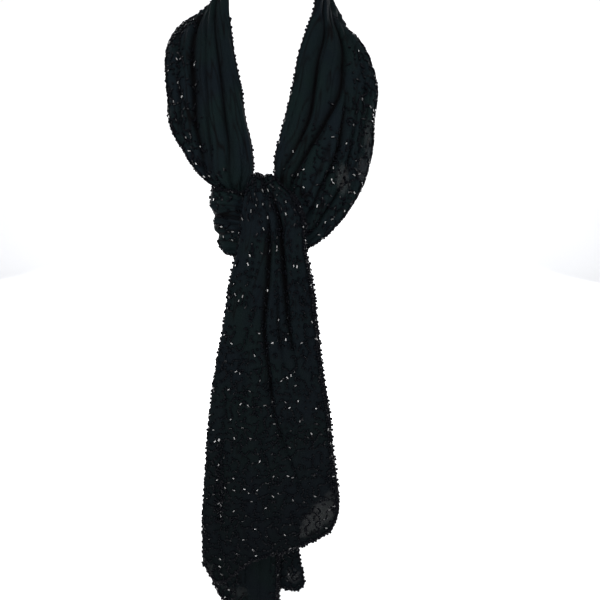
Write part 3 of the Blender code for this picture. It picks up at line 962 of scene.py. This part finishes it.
def sew_cluster(work, cloth, across, down, count):
    """Beads crowded together between two distances across and two distances down, in mm."""
    uniform = work.chance.uniform
    for _ in range(count):
        at = (uniform(*across), uniform(*down))
        end = (at[0] + uniform(-1, 1), at[1] + uniform(-1, 1))
        here, there = on_cloth(cloth, *at), on_cloth(cloth, *end)
        if here and there:
            lift = BEAD_LIFT + uniform(0, 0.5)
            axis = there[0] - here[0]
            work.sew(BUGLE, here[0] + here[1] * lift, axis, here[1], CLUSTER_TILT)


def bead_stretch(name, number, wide, worked, edges, clusters=()):
    """Vermicelli on a stretch's worked sides, then its edges and its crowded places.

    wide is the percentile of the stretch's widths that the chart is laid out on."""
    cloth = stretches["chiffon_" + name]
    cloth["nominal"] = float(np.percentile(cloth["across"][:, -1], wide))
    work = BeadWork(number)
    for closeness, side in worked:
        sew_squiggles(work, cloth, closeness, side)
    for edge in edges:
        sew_edge(work, cloth, *edge)
    for cluster in clusters:
        sew_cluster(work, cloth, *cluster)
    cloth["beads"] = work.finish("beads_" + name)


print("to bead:", ", ".join(stretches))

# %% [markdown]
# ## How closely each place is beaded
# The beading is thick on the ends of the shawl and thins out to bare cloth in its middle, so the
# innermost pleats of the bands are plain. The table gives the closeness of the loop, from 0 to 1, at
# five places from its inner edge to its outer one. The tails need only a few lines each.

# %% Bead the loop
FIFTHS = (0.0, 0.25, 0.5, 0.75, 1.0)
LOOP_BEADING = (
    ("right_under_knot", (0.3, 0.6, 0.8, 1.0, 1.0)),
    ("right_above_knot", (0.0, 0.0, 0.3, 0.8, 1.0)),
    ("right_chest", (0.0, 0.0, 0.35, 0.9, 1.0)),
    ("right_high_chest", (0.0, 0.0, 0.4, 0.95, 1.0)),
    ("right_neck_side", (0.0, 0.0, 0.3, 0.9, 1.0)),
    ("right_ridge", (0.0, 0.0, 0.1, 0.6, 0.9)),
    ("nape", (0.0, 0.0, 0.0, 0.3, 0.6)),
    ("left_ridge", (0.0, 0.0, 0.0, 0.1, 0.4)),
    ("left_shoulder", (0.0, 0.0, 0.0, 0.5, 0.9)),
    ("left_high_chest", (0.0, 0.0, 0.1, 0.95, 1.0)),
    ("left_chest", (0.0, 0.05, 0.45, 1.0, 1.0)),
    ("left_low_chest", (0.0, 0.35, 0.75, 1.0, 1.0)),
    ("left_above_knot", (0.1, 0.7, 0.9, 1.0, 1.0)),
    ("crossing", (0.6, 0.7, 0.7, 0.7, 0.9)),
    ("hidden_end", (0.6, 0.6, 0.6, 0.6, 0.8)),
)
# The chart is laid out on nearly the whole width of a stretch: this percentile of its widths
LOOP_WIDE = 85
ALL = (0.0, 1.0)
ON_THE_EDGE = (0.3,)
EDGE_AND_ROW = (0.3, 2.6)
# Each stretch's random seed, and its edges: which one, how far in its rows are, and the span of it
LOOP_EDGES = (
    ("right_band", 11, (("last", EDGE_AND_ROW, ALL), ("first", ON_THE_EDGE, (0.2, 0.75)))),
    ("nape", 12, (("last", ON_THE_EDGE, ALL),)),
    ("left_band", 13, (("last", EDGE_AND_ROW, ALL), ("first", ON_THE_EDGE, (0.15, 0.9)))),
    ("wrap", 14, (("last", EDGE_AND_ROW, ALL), ("first", EDGE_AND_ROW, ALL))),
)


def loop_closeness(start):
    """A function that gives the closeness at a share across and a distance down from a place."""
    stops = np.array([loop_place(row[0]) for row in LOOP_BEADING])
    values = np.array([row[1] for row in LOOP_BEADING])

    def closeness(share, down):
        across = [np.interp(start + down, stops, values[:, i]) for i in range(len(FIFTHS))]
        return float(np.interp(share, FIFTHS, across))

    return closeness


for name, number, edges in LOOP_EDGES:
    start = stretches["chiffon_" + name]["along"][0]
    bead_stretch(name, number, LOOP_WIDE, ((loop_closeness(start), 1),), edges)

# %% Bead the tails
TAIL_WIDE = 90
TAIL_EDGES = (
    ("first", (0.3, 2.5, 4.6)),
    ("last", EDGE_AND_ROW),
    ("turn", (0.0,), (0.3, 0.98)),
    ("hem", EDGE_AND_ROW),
)
# Where beads crowd on the front tail: mm across, mm down, and how many
FRONT_CLUSTERS = (
    ((1.0, 15.0), (112.0, 152.0), 150),
    ((1.0, 9.0), (208.0, 244.0), 40),
    ((148.0, 162.0), (400.0, 512.0), 130),
    ((3.0, 10.0), (430.0, 510.0), 60),
)


def front_closeness(share, down):
    """Close over the knot, sparser just below it, and thick from the waist down."""
    return float(np.interp(down, (120, 180, 250, 330, 480), (0.95, 0.65, 0.8, 0.95, 1.0)))


def back_closeness(share, down):
    """Bare down the middle of the upper layer but for its lower corner, and worked elsewhere."""
    corner = float(np.interp(down, (409, 424), (0, 1)) * np.interp(share, (0.18, 0.24), (0, 1)))
    shares = (0.0, 0.06, 0.12, 0.34, 0.40, 0.5, 1.0)
    worked = np.interp(share, shares, (0.9, 0.3, 0.0, 0.0, 0.9, 1.0, 1.0))
    return max(float(worked), corner)


def back_inside(share, down):
    """Only the last strip of the under layer's inner side is worked, as it turns into view."""
    return float(share > 0.84)


bead_stretch("front_tail", 15, TAIL_WIDE, ((front_closeness, 1),), TAIL_EDGES, FRONT_CLUSTERS)
bead_stretch("back_tail", 16, TAIL_WIDE, ((back_closeness, 1), (back_inside, -1)), TAIL_EDGES)

# %% [markdown]
# ## A finish from nodes
# A material is a chain of nodes that ends at one shader. Each node is added in the same way: its
# settings are made, and each of its inputs gets a value or the output of an earlier node.

# %% Start a finish and add nodes to it
# The Mix node has a set of sockets for each kind of value: these are the ones for colours
MIX_FIRST = 6
MIX_SECOND = 7
MIX_RESULT = 2


class Finish:
    """A material in the making."""

    def __init__(self, name):
        self.material = bpy.data.materials.new(name)
        self.material.use_nodes = True
        self.tree = self.material.node_tree

    def feed(self, node, inputs):
        """Give inputs of a node a value, or the output of another node."""
        for socket, value in inputs.items():
            if isinstance(value, bpy.types.NodeSocket):
                self.tree.links.new(value, node.inputs[socket])
            else:
                node.inputs[socket].default_value = value

    def add(self, kind, output, inputs, **settings):
        """A new node's output."""
        node = self.tree.nodes.new(kind)
        for setting, value in settings.items():
            setattr(node, setting, value)
        self.feed(node, inputs)
        return node.outputs[output]

    def graded(self, value, low, high, first=0.0, last=1.0):
        """A value that goes from first to last while the given one goes from low to high."""
        inputs = {"Value": value, "From Min": low, "From Max": high, "To Min": first, "To Max": last}
        return self.add("ShaderNodeMapRange", "Result", inputs)

    def shade(self, inputs):
        """Feed the shader. The material is done with that."""
        self.feed(self.tree.nodes["Principled BSDF"], inputs)
        return self.material


print("finishes to mix: chiffon, plain and beaded, black glass, and pale paper")

# %% [markdown]
# ## Chiffon
# Crepe chiffon is woven from tightly twisted silk, so it has a fine pebble rather than a shine. Its
# black is not even: it leans to green in some places and to blue in others. The folds' shade is
# painted into the colour, darkest at the bottom of a fold. The weave and the pebble are relief on
# the UV map, in real millimetres. Where the cloth is sheer its alpha drops, a little more between
# the threads than on them.

# %% Mix the chiffon
GREEN_BLACK = (0.0008, 0.0019, 0.0020, 1.0)
BLUE_BLACK = (0.0008, 0.0015, 0.0021, 1.0)
# Painted shade: the near black that the colour is darkened to in folds and on the shaded tails
FOLD_SHADE_BLACK = (0.0003, 0.0003, 0.0004, 1.0)
SHEEN_TINT = (0.55, 0.72, 0.8, 1.0)
# From one thread to the next, in metres. A wave texture at scale 1 repeats after 0.3142 m
THREAD_PITCH = 0.00045
WAVES = 0.3142 / THREAD_PITCH
# Noise scales: the cloud of the two blacks, the pebble, and where the bead thread draws the cloth in
TONES = 22.0
PEBBLE = 950.0
DRAWN = 210.0
# How clear the sheerest cloth is
SEE_THROUGH = 0.12


def chiffon(name, pucker):
    """Crepe chiffon. pucker says how much the bead thread draws it in."""
    finish = Finish(name)
    cloth = finish.add("ShaderNodeUVMap", "UV", {}, uv_map="cloth")
    place = finish.add("ShaderNodeTexCoord", "Object", {})

    def attribute(attribute_name):
        return finish.add("ShaderNodeAttribute", "Fac", {}, attribute_name=attribute_name)

    def cloud(source, scale, detail):
        inputs = {"Vector": source, "Scale": scale, "Detail": detail}
        return finish.add("ShaderNodeTexNoise", "Fac", inputs)

    def threads(direction):
        inputs = {"Vector": cloth, "Scale": WAVES, "Distortion": 1.5, "Detail": 1.0}
        bands = {"wave_type": "BANDS", "bands_direction": direction}
        return finish.add("ShaderNodeTexWave", "Fac", inputs, **bands)

    def combined(operation, first, second):
        return finish.add("ShaderNodeMath", "Value", {0: first, 1: second}, operation=operation)

    def blend(share, first, second):
        inputs = {"Factor": share, MIX_FIRST: first, MIX_SECOND: second}
        return finish.add("ShaderNodeMix", MIX_RESULT, inputs, data_type="RGBA")

    tone = finish.graded(cloud(place, TONES, 2.0), 0.38, 0.62)
    ground = blend(tone, GREEN_BLACK, BLUE_BLACK)
    weave = combined("MULTIPLY", threads("X"), threads("Y"))
    pebble = cloud(cloth, PEBBLE, 2.0)
    relief = combined("ADD", combined("MULTIPLY", weave, 0.25), combined("MULTIPLY", pebble, 0.6))
    relief = combined("ADD", relief, combined("MULTIPLY", cloud(cloth, DRAWN, 1.0), pucker))
    bump = {"Strength": 0.6, "Distance": 0.0006, "Height": relief}
    gaps = combined("ADD", combined("MULTIPLY", weave, -0.25), 1.0)
    clear = combined("MULTIPLY", combined("MULTIPLY", attribute("sheer"), gaps), SEE_THROUGH)
    return finish.shade(
        {
            # Painted shade: the colour darkens towards the fold black by the fold attribute
            "Base Color": blend(attribute("fold"), ground, FOLD_SHADE_BLACK),
            "Normal": finish.add("ShaderNodeBump", "Normal", bump),
            "Roughness": combined("ADD", combined("MULTIPLY", pebble, 0.22), 0.6),
            "Alpha": combined("SUBTRACT", 1.0, clear),
            "Specular IOR Level": 0.01,
            "Sheen Weight": 0.002,
            "Sheen Roughness": 0.4,
            "Sheen Tint": SHEEN_TINT,
        }
    )


plain_chiffon = chiffon("plain_chiffon", 0.4)
beaded_chiffon = chiffon("beaded_chiffon", 1.4)
print("the beaded chiffon takes", len(beaded_chiffon.node_tree.nodes), "nodes")

# %% [markdown]
# ## Black glass
# Jet glass is black through and polished, so all that shows of it is what it reflects. Real glass
# that lets light in would take long to render and look no different here. It stays a simple dark
# gloss whose polish varies from bead to bead. Its reflections are kept weak, so that only the lamps
# flash in it and the paper doesn't turn it grey.

# %% Mix the glass
GLASS_BLACK = (0.0007, 0.0008, 0.0011, 1.0)
# The noise's range, and the roughness that it is turned into
POLISH = (0.35, 0.7, 0.02, 0.08)


def black_glass():
    """Cut jet glass."""
    finish = Finish("black_glass")
    place = finish.add("ShaderNodeTexCoord", "Object", {})
    cloud = finish.add("ShaderNodeTexNoise", "Fac", {"Vector": place, "Scale": 300.0})
    return finish.shade(
        {
            "Base Color": GLASS_BLACK,
            "Roughness": finish.graded(cloud, *POLISH),
            "IOR": 1.52,
            "Specular IOR Level": 0.03,
        }
    )


glass = black_glass()
print("the glass is polished to a roughness of", POLISH[2], "to", POLISH[3])

# %% [markdown]
# ## Dressing the solids
# Each shell stands in for one solid, and the beads ride with it. The cut of a sheet is what it would
# measure laid flat: the width over all its folds by its length, as each stretch prints it.

# %% Give each piece its finish, hang it from the root and hide its solid
DRESSING = (
    ("right_band", "wearer_right_band", beaded_chiffon, "beaded_chiffon", "gathered", ()),
    ("nape", "nape_stretch", plain_chiffon, "plain_chiffon", "gathered", ()),
    ("left_band", "wearer_left_band", beaded_chiffon, "beaded_chiffon", "gathered", ()),
    ("wrap", "knot_wrap", beaded_chiffon, "beaded_chiffon", "gathered", ("chiffon_right_band",)),
    ("front_tail", "front_tail", beaded_chiffon, "beaded_chiffon", "hung", ("chiffon_wrap",)),
    ("back_tail", "back_tail", beaded_chiffon, "beaded_chiffon", "hung", ("chiffon_right_band",)),
)
for name, node, material, slot, held, rests_on in DRESSING:
    stretch = stretches["chiffon_" + name]
    cloth, beads = stretch["cloth"], stretch["beads"]
    cloth.data.materials.append(material)
    beads.data.materials.append(glass)
    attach(cloth, "root")
    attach(beads, "root")
    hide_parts(node)

# %% [markdown]
# ## Studio
# The shawl was photographed from just in front and a little above, close to, so its lower end runs
# off the frame. A pale sweep stands behind it. Black cloth needs soft light from the sides to show
# its folds, and small bright lamps to make the beads flash. One large lamp would light the flats of
# all the beads at once and turn them grey.

# %% Floor and backdrop
FLOOR = -0.80
SWEEP_SIDE = 9.0
SWEEP_FRONT = -4.0
SWEEP_BACK = 1.9
SWEEP_RADIUS = 0.9
# The paper is greyer close to the lamps, or the beads would mirror a glare from the floor: between
# the first two places in y it turns from the first grey to the second
PAPER_GREY = (-0.5, 0.9, 0.16, 0.58)


def pale_paper():
    """Matt paper, graded from front to back."""
    finish = Finish("pale_paper")
    place = finish.add("ShaderNodeTexCoord", "Object", {})
    y = finish.add("ShaderNodeSeparateXYZ", "Y", {"Vector": place})
    return finish.shade({"Base Color": finish.graded(y, *PAPER_GREY), "Roughness": 0.9})


def sweep():
    """A floor that turns up into a backdrop."""
    bm = bmesh.new()
    bmesh.ops.create_grid(bm, x_segments=8, y_segments=120, size=0.5)
    flat = SWEEP_BACK - SWEEP_FRONT
    arc = SWEEP_RADIUS * math.pi / 2
    for vert in bm.verts:
        run = (vert.co.y + 0.5) * SWEEP_SIDE
        angle = min(max(run - flat, 0), arc) / SWEEP_RADIUS
        y = SWEEP_FRONT + min(run, flat) + SWEEP_RADIUS * math.sin(angle)
        z = FLOOR + SWEEP_RADIUS * (1 - math.cos(angle)) + max(run - flat - arc, 0)
        vert.co = (vert.co.x * SWEEP_SIDE, y, z)
    mesh = mesh_from(bm, "pale_sweep")
    mesh.shade_smooth()
    mesh.materials.append(pale_paper())
    backdrop = show("pale_sweep", mesh)


sweep()
print("the floor lies", -FLOOR, "m under the neck")

# %% Lights
AIM = Vector((0.0, -0.12, -0.32))
# Small lamps spread over the space in front: where one lines up with the flat of a bead, it flashes
FLASHES = 34
FLASH_POWERS = (2.4, 5.4, 3.6, 7.2, 2.9, 4.3)
FLASH_SIZE = 0.12
# This turn from one lamp to the next leaves no two in line, as with the seeds of a sunflower
NEXT_FLASH = math.radians(137.5)
# Name, place, size across in m and power in W
LAMPS = (
    ("window_left", (-1.7, -1.5, 0.7), 0.9, 24),
    ("window_right", (1.8, -0.9, 0.5), 0.7, 14),
    ("high_key", (0.2, -1.6, 1.4), 0.35, 22),
    ("behind_left", (-1.6, 1.5, 0.0), 1.2, 90),
    ("behind_right", (1.6, 1.5, 0.0), 1.2, 90),
)


def lamp(name, place, size, power):
    """A round lamp that is aimed at the shawl."""
    light = bpy.data.lights.new(name, "AREA")
    light.shape = "DISK"
    light.size = size
    light.energy = power
    holder = show(name, light)
    holder.location = place
    holder.rotation_euler = (AIM - Vector(place)).to_track_quat("-Z", "Y").to_euler()


for number in range(FLASHES):
    turn = number * NEXT_FLASH
    reach = 0.25 + 1.6 * math.sqrt((number + 0.5) / FLASHES)
    place = (reach * math.cos(turn), -1.6 + 0.35 * reach**2, 0.7 * reach * math.sin(turn) + 0.35)
    lamp(f"flash_{number}", place, FLASH_SIZE, FLASH_POWERS[number % len(FLASH_POWERS)])
for name, place, size, power in LAMPS:
    lamp(name, place, size, power)
print(FLASHES + len(LAMPS), "lamps")

# %% Light from all round
ROOM_LIGHT = (0.92, 0.94, 1.0, 1.0)
ROOM_STRENGTH = 0.9
world = bpy.data.worlds.new("studio")
world.use_nodes = True
background = world.node_tree.nodes["Background"]
background.inputs["Color"].default_value = ROOM_LIGHT
background.inputs["Strength"].default_value = ROOM_STRENGTH
bpy.context.scene.world = world
bpy.context.scene.view_settings.view_transform = "Standard"
print("the room glows at", ROOM_STRENGTH)

# %% Camera
SENSOR = 36.0
LENS = 39.48
CAMERA_PLACE = (0.033, -0.83, -0.139)
LOOKS_DOWN = 15
camera_data = bpy.data.cameras.new("camera")
camera_data.sensor_width = SENSOR
camera_data.lens = LENS
camera = show("camera", camera_data)
camera.location = CAMERA_PLACE
camera.rotation_euler = (math.radians(90 - LOOKS_DOWN), 0.0, 0.0)
bpy.context.scene.camera = camera
print("the camera looks down by", LOOKS_DOWN, "degrees")
